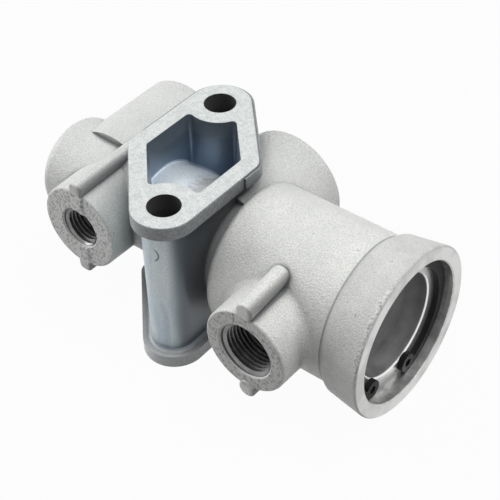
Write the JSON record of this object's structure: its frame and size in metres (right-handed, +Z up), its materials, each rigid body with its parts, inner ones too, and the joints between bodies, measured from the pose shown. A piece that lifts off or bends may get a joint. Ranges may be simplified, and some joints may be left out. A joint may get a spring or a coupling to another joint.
{
  "type": "tractor protection valve",
  "caption": "Die-cast air brake protection valve with a diamond mounting block, threaded ports and a spring-loaded plunger behind a capped bore.",
  "frame": {"origin": "centre of the two-bolt pattern on the lower flange face", "axes": "+X along the bore towards its open mouth, +Y away from the supply ports, +Z up through the mounting block"},
  "size_m": [0.1289, 0.0688, 0.055],
  "materials": {
    "cast_aluminium": "blasted die-cast, machined at the faces and bores",
    "cap_aluminium": "turned and tumbled",
    "stem_aluminium": "turned, hard anodised",
    "piston_aluminium": "die-cast and turned",
    "seal_rubber": "greased nitrile",
    "guide_plastic": "filled fluoropolymer",
    "phosphated_steel": "black phosphate",
    "plated_steel": "zinc plated",
    "spring_steel": "drawn wire, oiled",
    "sintered_bronze": "sintered"
  },
  "bodies": {
    "valve_body": {"body": "cast_aluminium", "end_cap": "cap_aluminium", "cap_seal": "seal_rubber", "retaining_ring": "phosphated_steel", "spring_seat": "plated_steel", "vent_filter": "sintered_bronze", "return_spring": "spring_steel"},
    "plunger": {"stem": "stem_aluminium", "supply_seal": "seal_rubber", "valve_seal": "seal_rubber", "vent_seal": "seal_rubber", "piston": "piston_aluminium", "piston_seal": "seal_rubber", "guide_ring": "guide_plastic", "washer": "plated_steel", "stem_nut": "plated_steel"}
  },
  "joints": [
    {"name": "plunger_slide", "type": "slide", "parent": "valve_body", "child": "plunger", "axis": [-1, 0, 0], "range_m": [0, 0.006], "stiffness_N_per_m": 4000, "springref_m": -0.012, "deforming": ["return_spring"]}
  ]
}
